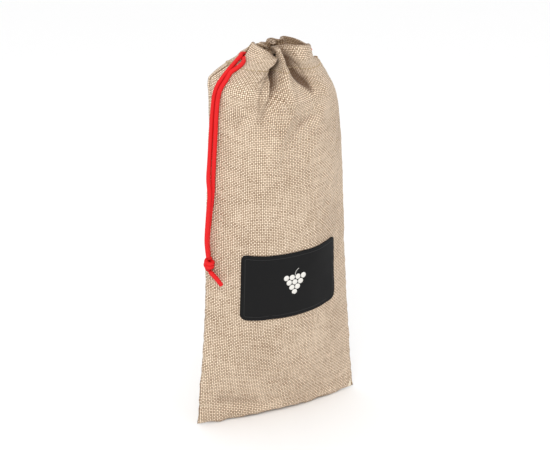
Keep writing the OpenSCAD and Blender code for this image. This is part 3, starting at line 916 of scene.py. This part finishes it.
def make_bottom_seam():
    x = np.linspace(-61, 61, 60) * MM
    low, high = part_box("bottom_seam")
    z = np.linspace(low[2], high[2], 4)[:, None]
    bend = 0.35 * MM * np.sin(x * 210) * (z - low[2]) / (high[2] - low[2])
    a = np.stack(np.broadcast_arrays(x, -0.45 * MM + bend, z), -1)
    b = np.stack(np.broadcast_arrays(x, 0.45 * MM + bend, z), -1)
    seam = shell("bottom_seam_allowance", a, b, x[None], z, JUTE_SHADED_INSIDE)
    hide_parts("bottom_seam")
    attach(seam, "bag")


make_bottom_seam()


def joined(name, parts, node):
    """Several small pieces made into one."""
    bm = bmesh.new()
    for part in parts:
        bm.from_mesh(part.data)
    material = parts[0].data.materials[0]
    for part in parts:
        bpy.data.objects.remove(part)
    piece = add_piece(name, bm, material)
    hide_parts(node)
    return piece


def make_stitches(side):
    parts = []
    for k in range(32):
        s = 4 * MM + k * 4.6 * MM
        ends = [at(side, s + d * MM, STITCH_T, h * MM) for d, h in
                ((0, -0.1), (0.5, 0.3), (1.5, 0.4), (2.5, 0.3), (3.0, -0.1))]
        parts.append(tube("stitch", [Vector(p) for p in ends], 0.3 * MM, THREAD, sides=6))
    piece = joined(f"{names[side]}_hem_stitches", parts, f"{names[side]}_casing_stitching")
    sway(piece)


def make_bar_tack(side_name, column):
    sign = -1 if side_name == "left" else 1
    row = int(SLIT_T / STEP_T) - 1
    parts = []
    for k in range(5):
        centre = Vector(grid[row - 1, column]) + Vector((sign * 0.3 * MM, 0, (k - 2) * 0.55 * MM))
        path = [centre + Vector((sign * d * MM, y * MM, 0)) for y, d in
                ((-2.4, -1.3), (-1.5, -0.1), (0, 0.25), (1.5, -0.1), (2.4, -1.3))]
        parts.append(tube("stitch", path, 0.3 * MM, THREAD, sides=6))
    piece = joined(f"{side_name}_tack_stitches", parts, f"{side_name}_bar_tack")
    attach(piece, "bag")


for side in (-1, 1):
    make_stitches(side)
make_bar_tack("left", 0)
make_bar_tack("right", HALF)


# ---------------------------------------------------------------- label
LABEL_S, LABEL_T = FLAT_W / 2 + 1.5 * MM, 131.5 * MM
LABEL_W, LABEL_H, LABEL_R = 92 * MM, LABEL_HIGH[2] - LABEL_LOW[2], 5 * MM


def round_rectangle(inset, n=9):
    """Points round the label's outline, drawn in by inset."""
    w, h, r = LABEL_W / 2 - inset, LABEL_H / 2 - inset, max(LABEL_R - inset, 0.5 * MM)
    out = []
    corners = ((w - r, h - r, 0), (-w + r, h - r, 90), (-w + r, -h + r, 180), (w - r, -h + r, 270))
    for cx, cy, start in corners:
        turns = [math.radians(start + 90 * k / n) for k in range(n + 1)]
        corner = [(cx + r * math.cos(turn), cy + r * math.sin(turn)) for turn in turns]
        if out:
            a, b = out[-1], corner[0]
            out += [(a[0] + (b[0] - a[0]) * k / 24, a[1] + (b[1] - a[1]) * k / 24) for k in range(1, 24)]
        out += corner
    a, b = out[-1], out[0]
    return out + [(a[0] + (b[0] - a[0]) * k / 24, a[1] + (b[1] - a[1]) * k / 24) for k in range(1, 24)]


def make_label():
    t = np.concatenate([[0, 0.1, 0.3, 0.6], np.linspace(1, LABEL_H / LABEL_R - 1, 22),
                        LABEL_H / LABEL_R - np.array([0.6, 0.3, 0.1, 0])]) * LABEL_R - LABEL_H / 2
    into = np.maximum(0, np.abs(t) - (LABEL_H / 2 - LABEL_R))
    half = LABEL_W / 2 - LABEL_R + np.sqrt(np.maximum(0, LABEL_R ** 2 - into ** 2))
    s = LABEL_S + np.linspace(-1, 1, 41)[None, :] * half[:, None]
    t = LABEL_T + t[:, None] + s * 0
    face, back = soften(at(-1, s, t, 0.95 * MM), 4), soften(at(-1, s, t, 0.1 * MM), 4)
    patch = shell("label", face, back, s, t, LABEL_BLACK)
    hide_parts("label_patch")
    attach(patch, "bag")
    a, b = np.array(round_rectangle(3 * MM)), np.array(round_rectangle(3.5 * MM))
    line = np.stack([a, b], 1)
    s, t = LABEL_S + line[..., 0], LABEL_T + line[..., 1]
    border = shell("label_line", at(-1, s, t, 1.0 * MM), at(-1, s, t, 0.85 * MM), s, t, PRINT_GREY, ring=True)
    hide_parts("label_border")
    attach(border, "bag")
    parts = []
    for j in range(4):
        for i in range(4 - j):
            s = LABEL_S + (i - (3 - j) / 2) * 5.2 * MM
            t = LABEL_T + 7 * MM - j * 4.5 * MM
            here, lifted = (Vector(at(-1, s, t, h * MM)) for h in (1.02, 2.02))
            bm = bmesh.new()
            turn = (lifted - here).to_track_quat("Z", "Y").to_matrix().to_4x4()
            bmesh.ops.create_cone(bm, cap_ends=True, segments=32, radius1=2.4 * MM, radius2=2.3 * MM,
                                  depth=0.16 * MM, matrix=Matrix.Translation(here) @ turn)
            parts.append(add_piece("grape", bm, PRINT_WHITE, smooth=False))
    stem = [Vector(at(-1, LABEL_S + x * MM, LABEL_T + z * MM, 1.05 * MM)) for x, z in
            ((0, 8.8), (0.3, 11), (1.4, 13), (3.2, 14.2))]
    parts.append(tube("stem", through([p / MM for p in stem]), 0.55 * MM, PRINT_WHITE, sides=8, squash=0.3))
    print_piece = joined("label_grapes", parts, "label_print")
    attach(print_piece, "bag")


make_label()


# ---------------------------------------------------------------- cords inside the casing
def make_run(cord, run):
    """A cord inside the front or back channel: from its own slit across to the far one."""
    side = -1 if run == "front" else 1
    height = 1.85 if cord == "left" else -1.85
    dip = 4 if run == "front" else 0
    path = [(x, y, 308.5 - (x + 27) * 3.5 / 59 - dip * math.exp(-((x + 13) / 7) ** 2) + height)
            for x, y in RUN_PATHS[run]]
    far = (29.5, 0.4 * side) if cord == "left" else (-25.5, 0.4 * side)
    path = path if cord == "left" else path[::-1]
    path.append((far[0], far[1], path[-1][2]))
    start = ROUTES[f"{cord}_{run}_strand"][0]
    piece = tube(f"{cord}_cord_in_{run}_casing", through([start] + path[1:], 4), CORD_D / 2, CORD_RED)
    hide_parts(f"{cord}_cord_{run}_run")
    sway(piece)


for cord in ("left", "right"):
    for run in ("front", "back"):
        make_run(cord, run)

for side in (-1, 1):
    sway(cloths[side])
    sway(linings[side])
